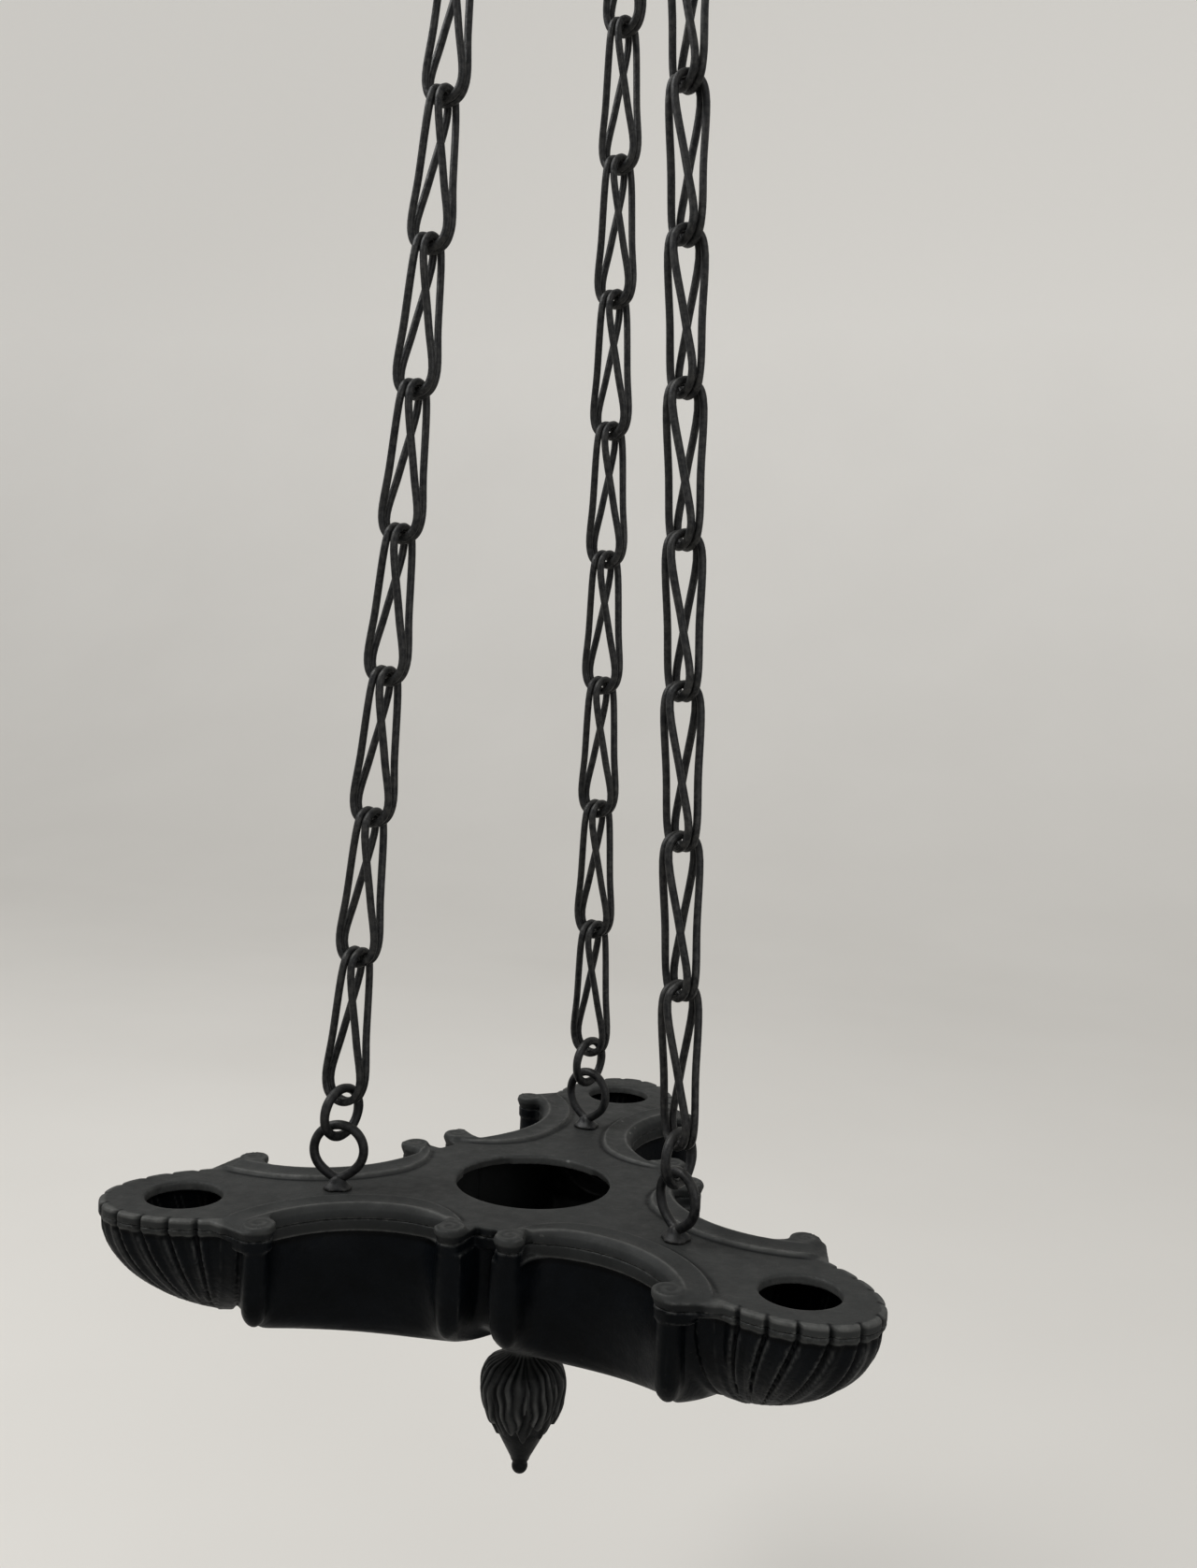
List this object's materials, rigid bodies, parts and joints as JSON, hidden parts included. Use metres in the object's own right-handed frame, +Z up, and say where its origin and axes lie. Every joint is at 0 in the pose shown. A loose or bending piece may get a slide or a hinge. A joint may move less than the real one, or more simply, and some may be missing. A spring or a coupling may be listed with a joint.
{
  "type": "hanging oil lamp",
  "caption": "Three-armed bronze hanging oil lamp with gadrooned wick nozzles, scrolled deck, drop finial and loop-in-loop wire chains on a ceiling hook.",
  "frame": {"origin": "middle of the ceiling plate's top face, where it meets the ceiling", "axes": "+Z up; +Y towards the back arm; +X to the right as seen from the front"},
  "size_m": [0.2854, 0.2535, 0.7562],
  "materials": {
    "bronze_body": "dark patina, worn satin",
    "bronze_deck": "dark patina, dusty and dull",
    "bronze_wire": "dark patina, rubbed",
    "iron_fittings": "blackened"
  },
  "bodies": {
    "ceiling_mount": {"ceiling_plate": "iron_fittings", "ceiling_screw_1": "iron_fittings", "ceiling_screw_2": "iron_fittings", "ceiling_screw_3": "iron_fittings", "ceiling_hook": "iron_fittings"},
    "hanger": {"hanger_ring": "bronze_wire"},
    "crown": {"spreader_plate": "bronze_body", "crown_eye_bolt": "bronze_wire", "crown_nut": "iron_fittings", "top_eye_right": "bronze_wire", "top_eye_back": "bronze_wire", "top_eye_left": "bronze_wire"},
    "lamp": {"lamp_deck": "bronze_deck", "oil_pan": "bronze_body", "drop_finial": "bronze_body", "finial_nut": "iron_fittings", "deck_eye_right": "bronze_wire", "deck_eye_back": "bronze_wire", "deck_eye_left": "bronze_wire"},
    "right_link_1": {"chain_right_link_01": "bronze_wire"},
    "right_link_2": {"chain_right_link_02": "bronze_wire"},
    "right_link_3": {"chain_right_link_03": "bronze_wire"},
    "right_link_4": {"chain_right_link_04": "bronze_wire"},
    "right_link_5": {"chain_right_link_05": "bronze_wire"},
    "right_link_6": {"chain_right_link_06": "bronze_wire"},
    "right_link_7": {"chain_right_link_07": "bronze_wire"},
    "right_link_8": {"chain_right_link_08": "bronze_wire"},
    "right_link_9": {"chain_right_link_09": "bronze_wire"},
    "right_ring": {"chain_right_ring": "bronze_wire"},
    "back_link_1": {"chain_back_link_01": "bronze_wire"},
    "back_link_2": {"chain_back_link_02": "bronze_wire"},
    "back_link_3": {"chain_back_link_03": "bronze_wire"},
    "back_link_4": {"chain_back_link_04": "bronze_wire"},
    "back_link_5": {"chain_back_link_05": "bronze_wire"},
    "back_link_6": {"chain_back_link_06": "bronze_wire"},
    "back_link_7": {"chain_back_link_07": "bronze_wire"},
    "back_link_8": {"chain_back_link_08": "bronze_wire"},
    "back_link_9": {"chain_back_link_09": "bronze_wire"},
    "back_ring": {"chain_back_ring": "bronze_wire"},
    "left_link_1": {"chain_left_link_01": "bronze_wire"},
    "left_link_2": {"chain_left_link_02": "bronze_wire"},
    "left_link_3": {"chain_left_link_03": "bronze_wire"},
    "left_link_4": {"chain_left_link_04": "bronze_wire"},
    "left_link_5": {"chain_left_link_05": "bronze_wire"},
    "left_link_6": {"chain_left_link_06": "bronze_wire"},
    "left_link_7": {"chain_left_link_07": "bronze_wire"},
    "left_link_8": {"chain_left_link_08": "bronze_wire"},
    "left_link_9": {"chain_left_link_09": "bronze_wire"},
    "left_ring": {"chain_left_ring": "bronze_wire"}
  },
  "joints": [
    {"name": "hanger_swing", "type": "hinge", "parent": "ceiling_mount", "child": "hanger", "pos_m": [0, 0, -0.042], "axis": [1, 0, 0], "range_deg": [-25, 25]},
    {"name": "crown_swing", "type": "hinge", "parent": "hanger", "child": "crown", "pos_m": [0, 0, -0.06445], "axis": [0, 1, 0], "range_deg": [-25, 25]},
    {"name": "lamp_twist", "type": "hinge", "parent": "crown", "child": "lamp", "pos_m": [0, 0, -0.61831], "axis": [0, 0, 1], "range_deg": [-10, 10]},
    {"name": "chain_right_sway", "type": "hinge", "parent": "crown", "child": "right_link_1", "pos_m": [0.03984, -0.023, -0.1083], "axis": [0.866, -0.5, 0], "range_deg": [-1.6, 1.6]},
    {"name": "chain_right_twist_2", "type": "hinge", "parent": "right_link_1", "child": "right_link_2", "pos_m": [0.04239, -0.02447, -0.15641], "axis": [-0.053, 0.0306, 0.9981], "range_deg": [-1.16, 1.16]},
    {"name": "chain_right_twist_3", "type": "hinge", "parent": "right_link_1", "child": "right_link_3", "pos_m": [0.0452, -0.02609, -0.20931], "axis": [-0.053, 0.0306, 0.9981], "range_deg": [-2.27, 2.27]},
    {"name": "chain_right_twist_4", "type": "hinge", "parent": "right_link_1", "child": "right_link_4", "pos_m": [0.048, -0.02771, -0.26221], "axis": [-0.053, 0.0306, 0.9981], "range_deg": [-3.38, 3.38]},
    {"name": "chain_right_twist_5", "type": "hinge", "parent": "right_link_1", "child": "right_link_5", "pos_m": [0.05081, -0.02933, -0.31511], "axis": [-0.053, 0.0306, 0.9981], "range_deg": [-4.49, 4.49]},
    {"name": "chain_right_twist_6", "type": "hinge", "parent": "right_link_1", "child": "right_link_6", "pos_m": [0.05362, -0.03095, -0.36802], "axis": [-0.053, 0.0306, 0.9981], "range_deg": [-5.61, 5.61]},
    {"name": "chain_right_twist_7", "type": "hinge", "parent": "right_link_1", "child": "right_link_7", "pos_m": [0.05642, -0.03258, -0.42092], "axis": [-0.053, 0.0306, 0.9981], "range_deg": [-6.72, 6.72]},
    {"name": "chain_right_twist_8", "type": "hinge", "parent": "right_link_1", "child": "right_link_8", "pos_m": [0.05923, -0.0342, -0.47382], "axis": [-0.053, 0.0306, 0.9981], "range_deg": [-7.83, 7.83]},
    {"name": "chain_right_twist_9", "type": "hinge", "parent": "right_link_1", "child": "right_link_9", "pos_m": [0.06204, -0.03582, -0.52672], "axis": [-0.053, 0.0306, 0.9981], "range_deg": [-8.94, 8.94]},
    {"name": "chain_right_twist_10", "type": "hinge", "parent": "right_link_1", "child": "right_ring", "pos_m": [0.06533, -0.03772, -0.58883], "axis": [-0.053, 0.0306, 0.9981], "range_deg": [-10.05, 10.05]},
    {"name": "chain_back_sway", "type": "hinge", "parent": "crown", "child": "back_link_1", "pos_m": [0, 0.046, -0.1083], "axis": [0, 1, 0], "range_deg": [-1.6, 1.6]},
    {"name": "chain_back_twist_2", "type": "hinge", "parent": "back_link_1", "child": "back_link_2", "pos_m": [0, 0.04895, -0.15641], "axis": [0, -0.0611, 0.9981], "range_deg": [-1.16, 1.16]},
    {"name": "chain_back_twist_3", "type": "hinge", "parent": "back_link_1", "child": "back_link_3", "pos_m": [0, 0.05219, -0.20931], "axis": [0, -0.0611, 0.9981], "range_deg": [-2.27, 2.27]},
    {"name": "chain_back_twist_4", "type": "hinge", "parent": "back_link_1", "child": "back_link_4", "pos_m": [0, 0.05543, -0.26221], "axis": [0, -0.0611, 0.9981], "range_deg": [-3.38, 3.38]},
    {"name": "chain_back_twist_5", "type": "hinge", "parent": "back_link_1", "child": "back_link_5", "pos_m": [0, 0.05867, -0.31511], "axis": [0, -0.0611, 0.9981], "range_deg": [-4.49, 4.49]},
    {"name": "chain_back_twist_6", "type": "hinge", "parent": "back_link_1", "child": "back_link_6", "pos_m": [0, 0.06191, -0.36802], "axis": [0, -0.0611, 0.9981], "range_deg": [-5.61, 5.61]},
    {"name": "chain_back_twist_7", "type": "hinge", "parent": "back_link_1", "child": "back_link_7", "pos_m": [0, 0.06515, -0.42092], "axis": [0, -0.0611, 0.9981], "range_deg": [-6.72, 6.72]},
    {"name": "chain_back_twist_8", "type": "hinge", "parent": "back_link_1", "child": "back_link_8", "pos_m": [0, 0.06839, -0.47382], "axis": [0, -0.0611, 0.9981], "range_deg": [-7.83, 7.83]},
    {"name": "chain_back_twist_9", "type": "hinge", "parent": "back_link_1", "child": "back_link_9", "pos_m": [0, 0.07163, -0.52672], "axis": [0, -0.0611, 0.9981], "range_deg": [-8.94, 8.94]},
    {"name": "chain_back_twist_10", "type": "hinge", "parent": "back_link_1", "child": "back_ring", "pos_m": [0, 0.07544, -0.58883], "axis": [0, -0.0611, 0.9981], "range_deg": [-10.05, 10.05]},
    {"name": "chain_left_sway", "type": "hinge", "parent": "crown", "child": "left_link_1", "pos_m": [-0.03984, -0.023, -0.1083], "axis": [-0.866, -0.5, 0], "range_deg": [-1.6, 1.6]},
    {"name": "chain_left_twist_2", "type": "hinge", "parent": "left_link_1", "child": "left_link_2", "pos_m": [-0.04239, -0.02447, -0.15641], "axis": [0.053, 0.0306, 0.9981], "range_deg": [-1.16, 1.16]},
    {"name": "chain_left_twist_3", "type": "hinge", "parent": "left_link_1", "child": "left_link_3", "pos_m": [-0.0452, -0.02609, -0.20931], "axis": [0.053, 0.0306, 0.9981], "range_deg": [-2.27, 2.27]},
    {"name": "chain_left_twist_4", "type": "hinge", "parent": "left_link_1", "child": "left_link_4", "pos_m": [-0.048, -0.02771, -0.26221], "axis": [0.053, 0.0306, 0.9981], "range_deg": [-3.38, 3.38]},
    {"name": "chain_left_twist_5", "type": "hinge", "parent": "left_link_1", "child": "left_link_5", "pos_m": [-0.05081, -0.02933, -0.31511], "axis": [0.053, 0.0306, 0.9981], "range_deg": [-4.49, 4.49]},
    {"name": "chain_left_twist_6", "type": "hinge", "parent": "left_link_1", "child": "left_link_6", "pos_m": [-0.05362, -0.03095, -0.36802], "axis": [0.053, 0.0306, 0.9981], "range_deg": [-5.61, 5.61]},
    {"name": "chain_left_twist_7", "type": "hinge", "parent": "left_link_1", "child": "left_link_7", "pos_m": [-0.05642, -0.03258, -0.42092], "axis": [0.053, 0.0306, 0.9981], "range_deg": [-6.72, 6.72]},
    {"name": "chain_left_twist_8", "type": "hinge", "parent": "left_link_1", "child": "left_link_8", "pos_m": [-0.05923, -0.0342, -0.47382], "axis": [0.053, 0.0306, 0.9981], "range_deg": [-7.83, 7.83]},
    {"name": "chain_left_twist_9", "type": "hinge", "parent": "left_link_1", "child": "left_link_9", "pos_m": [-0.06204, -0.03582, -0.52672], "axis": [0.053, 0.0306, 0.9981], "range_deg": [-8.94, 8.94]},
    {"name": "chain_left_twist_10", "type": "hinge", "parent": "left_link_1", "child": "left_ring", "pos_m": [-0.06533, -0.03772, -0.58883], "axis": [0.053, 0.0306, 0.9981], "range_deg": [-10.05, 10.05]}
  ],
  "couplings": [
    {"joint": "chain_right_sway", "follows": "lamp_twist", "ratio": 0.15519},
    {"joint": "chain_right_twist_2", "follows": "lamp_twist", "ratio": 0.11111},
    {"joint": "chain_right_twist_3", "follows": "lamp_twist", "ratio": 0.22222},
    {"joint": "chain_right_twist_4", "follows": "lamp_twist", "ratio": 0.33333},
    {"joint": "chain_right_twist_5", "follows": "lamp_twist", "ratio": 0.44444},
    {"joint": "chain_right_twist_6", "follows": "lamp_twist", "ratio": 0.55556},
    {"joint": "chain_right_twist_7", "follows": "lamp_twist", "ratio": 0.66667},
    {"joint": "chain_right_twist_8", "follows": "lamp_twist", "ratio": 0.77778},
    {"joint": "chain_right_twist_9", "follows": "lamp_twist", "ratio": 0.88889},
    {"joint": "chain_right_twist_10", "follows": "lamp_twist", "ratio": 1},
    {"joint": "chain_back_sway", "follows": "lamp_twist", "ratio": 0.15519},
    {"joint": "chain_back_twist_2", "follows": "lamp_twist", "ratio": 0.11111},
    {"joint": "chain_back_twist_3", "follows": "lamp_twist", "ratio": 0.22222},
    {"joint": "chain_back_twist_4", "follows": "lamp_twist", "ratio": 0.33333},
    {"joint": "chain_back_twist_5", "follows": "lamp_twist", "ratio": 0.44444},
    {"joint": "chain_back_twist_6", "follows": "lamp_twist", "ratio": 0.55556},
    {"joint": "chain_back_twist_7", "follows": "lamp_twist", "ratio": 0.66667},
    {"joint": "chain_back_twist_8", "follows": "lamp_twist", "ratio": 0.77778},
    {"joint": "chain_back_twist_9", "follows": "lamp_twist", "ratio": 0.88889},
    {"joint": "chain_back_twist_10", "follows": "lamp_twist", "ratio": 1},
    {"joint": "chain_left_sway", "follows": "lamp_twist", "ratio": 0.15519},
    {"joint": "chain_left_twist_2", "follows": "lamp_twist", "ratio": 0.11111},
    {"joint": "chain_left_twist_3", "follows": "lamp_twist", "ratio": 0.22222},
    {"joint": "chain_left_twist_4", "follows": "lamp_twist", "ratio": 0.33333},
    {"joint": "chain_left_twist_5", "follows": "lamp_twist", "ratio": 0.44444},
    {"joint": "chain_left_twist_6", "follows": "lamp_twist", "ratio": 0.55556},
    {"joint": "chain_left_twist_7", "follows": "lamp_twist", "ratio": 0.66667},
    {"joint": "chain_left_twist_8", "follows": "lamp_twist", "ratio": 0.77778},
    {"joint": "chain_left_twist_9", "follows": "lamp_twist", "ratio": 0.88889},
    {"joint": "chain_left_twist_10", "follows": "lamp_twist", "ratio": 1}
  ]
}
